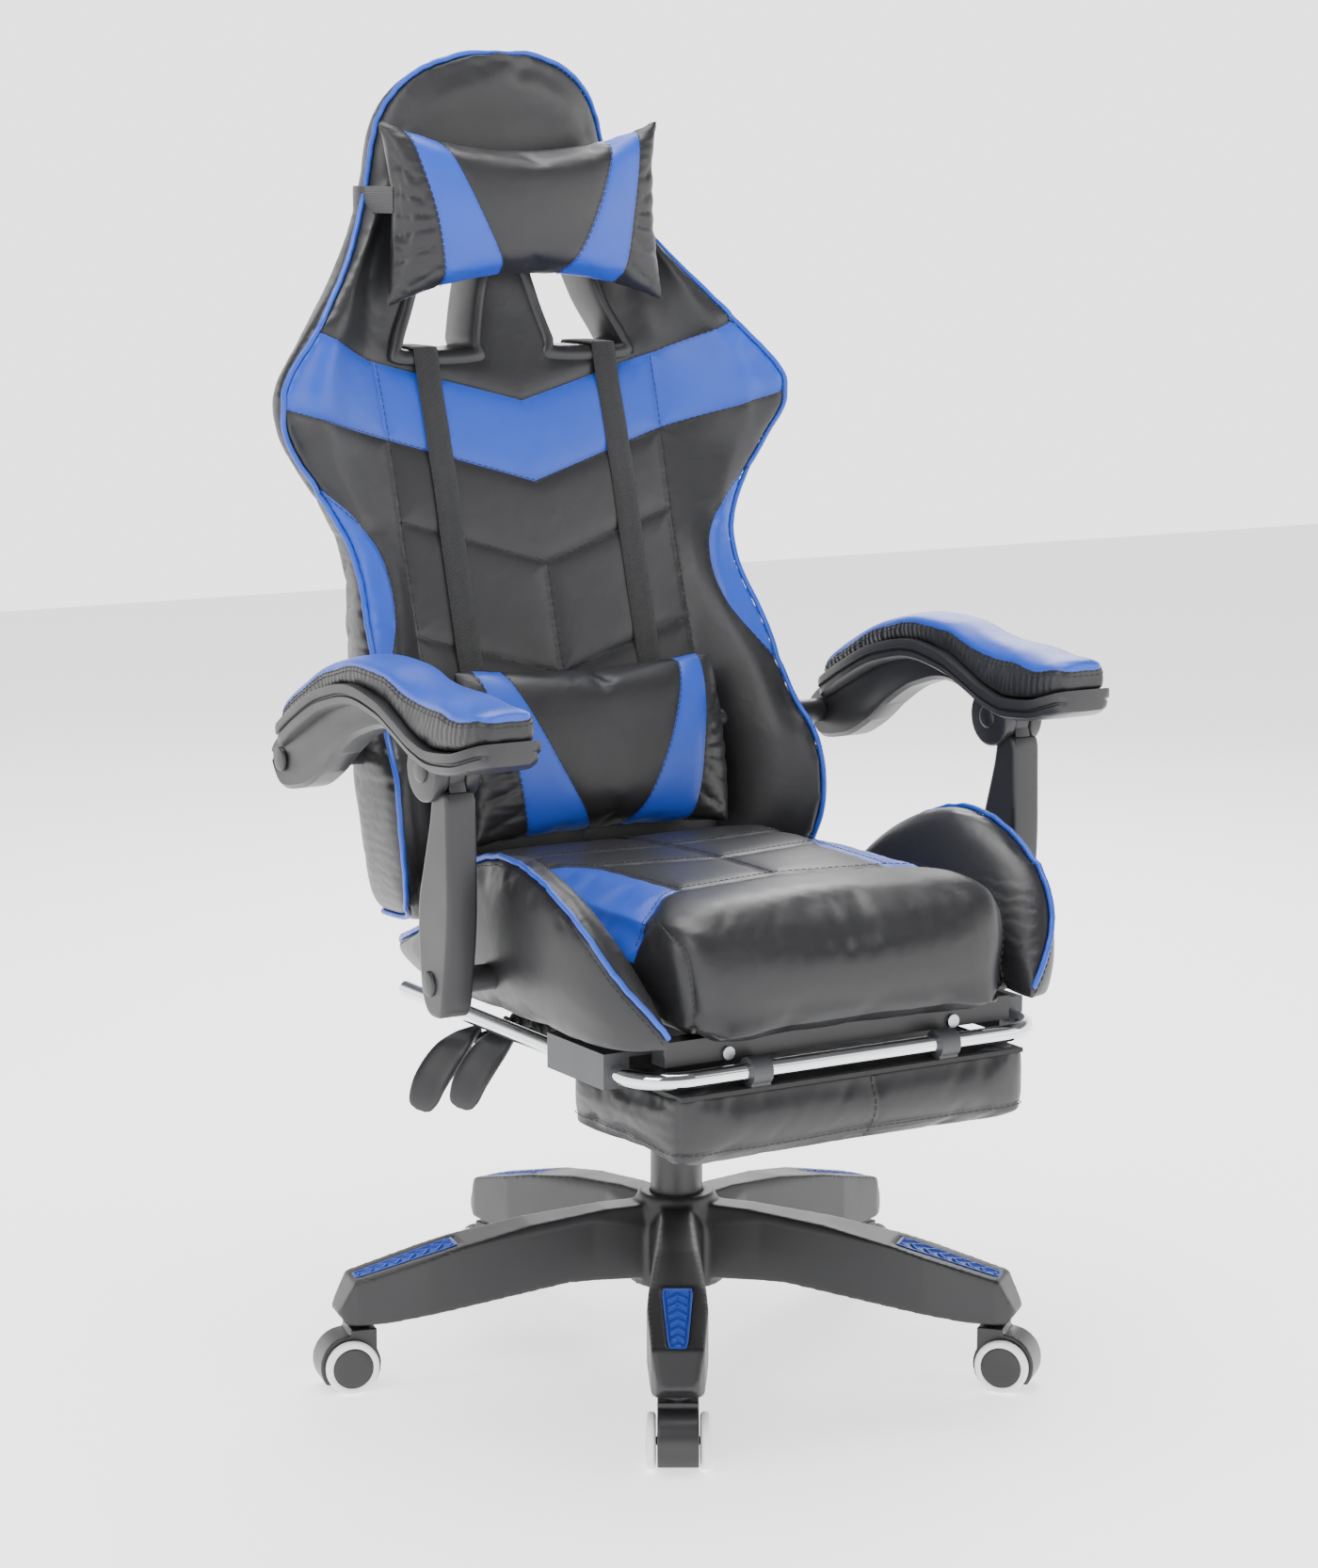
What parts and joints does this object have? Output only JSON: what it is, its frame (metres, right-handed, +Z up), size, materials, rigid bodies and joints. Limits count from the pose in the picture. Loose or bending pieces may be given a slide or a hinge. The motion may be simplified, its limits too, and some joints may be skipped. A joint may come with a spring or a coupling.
{
  "type": "gaming chair",
  "caption": "High-backed racing-style gaming chair with linked reclining armrests, strapped pillows, pull-out footrest, gas lift and star base on casters.",
  "frame": {"origin": "on the floor, on the axis of the gas lift", "axes": "the sitter faces -Y, +X is the sitter's left, +Z is up"},
  "size_m": [0.6954, 0.7309, 1.252],
  "materials": {
    "base_nylon": "satin",
    "inlay_blue": "satin",
    "column_black": "gloss",
    "bush_plastic": "satin",
    "bright_steel": "satin",
    "frame_steel": "satin",
    "seat_leather": "satin",
    "back_leather": "satin",
    "pillow_leather": "satin",
    "arm_pad_leather": "satin",
    "footrest_leather": "satin",
    "footrest_plywood": "matte",
    "webbing": "matte",
    "arm_plastic": "satin",
    "guide_plastic": "satin",
    "lever_plastic": "satin",
    "bellows_rubber": "matte",
    "rail_chrome": "polished",
    "caster_nylon": "gloss",
    "wheel_white": "satin"
  },
  "bodies": {
    "base": {"star_base": "base_nylon", "base_inlays": "inlay_blue", "column_outer": "column_black", "guide_bush": "bush_plastic"},
    "gas_spring_rod": {"piston_rod": "bright_steel", "thrust_bearing": "bright_steel", "retaining_clip": "bright_steel"},
    "seat": {"column_inner": "column_black", "mechanism_housing": "frame_steel", "frame_bolts": "bright_steel", "seat_frame": "frame_steel", "seat_cushion": "seat_leather", "seat_bolster_l": "seat_leather", "seat_bolster_r": "seat_leather", "hinge_plates": "frame_steel", "hinge_pins": "bright_steel", "arm_lower_pins": "bright_steel", "footrest_guides": "guide_plastic"},
    "lift_lever": {"lift_lever": "lever_plastic", "lift_bellows": "bellows_rubber"},
    "recline_lever": {"recline_lever": "lever_plastic", "recline_bellows": "bellows_rubber"},
    "back": {"back_frame": "frame_steel", "back_brackets": "frame_steel", "back_cushion": "back_leather", "back_bolster_l": "back_leather", "back_bolster_r": "back_leather", "strap_bezels": "arm_plastic", "head_pillow": "pillow_leather", "head_strap": "webbing", "lumbar_pillow": "pillow_leather", "lumbar_straps": "webbing", "arm_rear_mounts": "frame_steel"},
    "arm_upright_l": {"arm_upright_l": "arm_plastic"},
    "arm_upright_r": {"arm_upright_r": "arm_plastic"},
    "arm_link_l": {"arm_link_l": "arm_plastic", "arm_pad_l": "arm_pad_leather", "arm_front_pin_l": "bright_steel"},
    "arm_link_r": {"arm_link_r": "arm_plastic", "arm_pad_r": "arm_pad_leather", "arm_front_pin_r": "bright_steel"},
    "footrest_slide": {"footrest_frame": "rail_chrome"},
    "footrest_flip": {"footrest_board": "footrest_plywood", "footrest_clips": "guide_plastic", "footrest_pad": "footrest_leather"},
    "caster_1": {"caster_1": "caster_nylon"},
    "wheel_a_1": {"caster_wheel_a_1": "wheel_white"},
    "wheel_b_1": {"caster_wheel_b_1": "wheel_white"},
    "caster_2": {"caster_2": "caster_nylon"},
    "wheel_a_2": {"caster_wheel_a_2": "wheel_white"},
    "wheel_b_2": {"caster_wheel_b_2": "wheel_white"},
    "caster_3": {"caster_3": "caster_nylon"},
    "wheel_a_3": {"caster_wheel_a_3": "wheel_white"},
    "wheel_b_3": {"caster_wheel_b_3": "wheel_white"},
    "caster_4": {"caster_4": "caster_nylon"},
    "wheel_a_4": {"caster_wheel_a_4": "wheel_white"},
    "wheel_b_4": {"caster_wheel_b_4": "wheel_white"},
    "caster_5": {"caster_5": "caster_nylon"},
    "wheel_a_5": {"caster_wheel_a_5": "wheel_white"},
    "wheel_b_5": {"caster_wheel_b_5": "wheel_white"}
  },
  "joints": [
    {"name": "seat_swivel", "type": "hinge", "parent": "base", "child": "gas_spring_rod", "pos_m": [0, 0, 0.1], "axis": [0, 0, 1], "continuous": true},
    {"name": "seat_height", "type": "slide", "parent": "gas_spring_rod", "child": "seat", "axis": [0, 0, 1], "range_m": [0, 0.08]},
    {"name": "lift_lever_pull", "type": "hinge", "parent": "seat", "child": "lift_lever", "pos_m": [-0.052, 0, 0.351], "axis": [0, 1, 0], "range_deg": [0, 5], "stiffness_Nm_per_rad": 2, "springref_deg": -8.59},
    {"name": "recline_lever_pull", "type": "hinge", "parent": "seat", "child": "recline_lever", "pos_m": [-0.052, 0.055, 0.351], "axis": [0, 1, 0], "range_deg": [0, 5], "stiffness_Nm_per_rad": 2, "springref_deg": -8.59},
    {"name": "recline", "type": "hinge", "parent": "seat", "child": "back", "pos_m": [0, 0.194, 0.391], "axis": [-1, 0, 0], "range_deg": [0, 50]},
    {"name": "arm_upright_l_tilt", "type": "hinge", "parent": "seat", "child": "arm_upright_l", "pos_m": [0.305, -0.107, 0.423], "axis": [-1, 0, 0], "range_deg": [0, 50]},
    {"name": "arm_link_l_tilt", "type": "hinge", "parent": "arm_upright_l", "child": "arm_link_l", "pos_m": [0.305, -0.109, 0.616], "axis": [-1, 0, 0], "range_deg": [-50, 0]},
    {"name": "arm_upright_r_tilt", "type": "hinge", "parent": "seat", "child": "arm_upright_r", "pos_m": [-0.305, -0.107, 0.423], "axis": [-1, 0, 0], "range_deg": [0, 50]},
    {"name": "arm_link_r_tilt", "type": "hinge", "parent": "arm_upright_r", "child": "arm_link_r", "pos_m": [-0.305, -0.109, 0.616], "axis": [-1, 0, 0], "range_deg": [-50, 0]},
    {"name": "footrest_pull", "type": "slide", "parent": "seat", "child": "footrest_slide", "axis": [0, -1, 0], "range_m": [0, 0.3]},
    {"name": "footrest_turn", "type": "hinge", "parent": "footrest_slide", "child": "footrest_flip", "pos_m": [0, -0.3, 0.357], "axis": [-1, 0, 0], "range_deg": [0, 180]},
    {"name": "caster_1_swivel", "type": "hinge", "parent": "base", "child": "caster_1", "pos_m": [-0.16224, -0.27001, 0.064], "axis": [0, 0, 1], "continuous": true},
    {"name": "wheel_a_1_roll", "type": "hinge", "parent": "caster_1", "child": "wheel_a_1", "pos_m": [-0.16862, -0.28064, 0.0255], "axis": [0.8572, -0.515, 0], "continuous": true},
    {"name": "wheel_b_1_roll", "type": "hinge", "parent": "caster_1", "child": "wheel_b_1", "pos_m": [-0.16862, -0.28064, 0.0255], "axis": [0.8572, -0.515, 0], "continuous": true},
    {"name": "caster_2_swivel", "type": "hinge", "parent": "base", "child": "caster_2", "pos_m": [0.20666, -0.23773, 0.064], "axis": [0, 0, 1], "continuous": true},
    {"name": "wheel_a_2_roll", "type": "hinge", "parent": "caster_2", "child": "wheel_a_2", "pos_m": [0.21479, -0.24709, 0.0255], "axis": [0.7547, 0.6561, 0], "continuous": true},
    {"name": "wheel_b_2_roll", "type": "hinge", "parent": "caster_2", "child": "wheel_b_2", "pos_m": [0.21479, -0.24709, 0.0255], "axis": [0.7547, 0.6561, 0], "continuous": true},
    {"name": "caster_3_swivel", "type": "hinge", "parent": "base", "child": "caster_3", "pos_m": [0.28996, 0.12308, 0.064], "axis": [0, 0, 1], "continuous": true},
    {"name": "wheel_a_3_roll", "type": "hinge", "parent": "caster_3", "child": "wheel_a_3", "pos_m": [0.30137, 0.12793, 0.0255], "axis": [-0.3907, 0.9205, 0], "continuous": true},
    {"name": "wheel_b_3_roll", "type": "hinge", "parent": "caster_3", "child": "wheel_b_3", "pos_m": [0.30137, 0.12793, 0.0255], "axis": [-0.3907, 0.9205, 0], "continuous": true},
    {"name": "caster_4_swivel", "type": "hinge", "parent": "base", "child": "caster_4", "pos_m": [-0.02745, 0.3138, 0.064], "axis": [0, 0, 1], "continuous": true},
    {"name": "wheel_a_4_roll", "type": "hinge", "parent": "caster_4", "child": "wheel_a_4", "pos_m": [-0.02854, 0.32615, 0.0255], "axis": [-0.9962, -0.0872, 0], "continuous": true},
    {"name": "wheel_b_4_roll", "type": "hinge", "parent": "caster_4", "child": "wheel_b_4", "pos_m": [-0.02854, 0.32615, 0.0255], "axis": [-0.9962, -0.0872, 0], "continuous": true},
    {"name": "caster_5_swivel", "type": "hinge", "parent": "base", "child": "caster_5", "pos_m": [-0.30693, 0.07086, 0.064], "axis": [0, 0, 1], "continuous": true},
    {"name": "wheel_a_5_roll", "type": "hinge", "parent": "caster_5", "child": "wheel_a_5", "pos_m": [-0.31901, 0.07365, 0.0255], "axis": [-0.225, -0.9744, 0], "continuous": true},
    {"name": "wheel_b_5_roll", "type": "hinge", "parent": "caster_5", "child": "wheel_b_5", "pos_m": [-0.31901, 0.07365, 0.0255], "axis": [-0.225, -0.9744, 0], "continuous": true}
  ],
  "couplings": [
    {"joint": "arm_upright_l_tilt", "follows": "recline", "ratio": 1},
    {"joint": "arm_upright_r_tilt", "follows": "recline", "ratio": 1},
    {"joint": "arm_link_l_tilt", "follows": "recline", "ratio": -1},
    {"joint": "arm_link_r_tilt", "follows": "recline", "ratio": -1},
    {"joint": "footrest_turn", "follows": "footrest_pull", "rad_per_m": 10.472}
  ]
}
